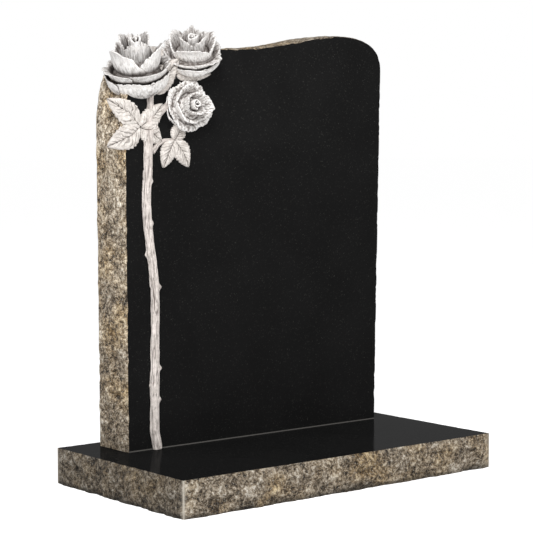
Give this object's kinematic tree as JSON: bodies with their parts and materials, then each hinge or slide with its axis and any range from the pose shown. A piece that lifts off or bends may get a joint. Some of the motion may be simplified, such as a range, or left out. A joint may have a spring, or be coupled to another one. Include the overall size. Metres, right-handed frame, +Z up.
{
  "type": "headstone",
  "caption": "Upright granite headstone with a polished face, rock-pitched edges and a carved spray of roses, on a flat granite base.",
  "frame": {"origin": "middle of the base's underside", "axes": "+Z up, the polished face looks towards -Y, the rose spray is at the face's left, towards -X"},
  "size_m": [0.7489, 0.4072, 0.8384],
  "materials": {
    "base_granite": "rock-pitched edges, polished top",
    "tablet_granite": "polished face, rock-pitched sides, fine-dressed carving"
  },
  "bodies": {
    "root": {"base": "base_granite", "headstone": "tablet_granite"}
  },
  "joints": []
}
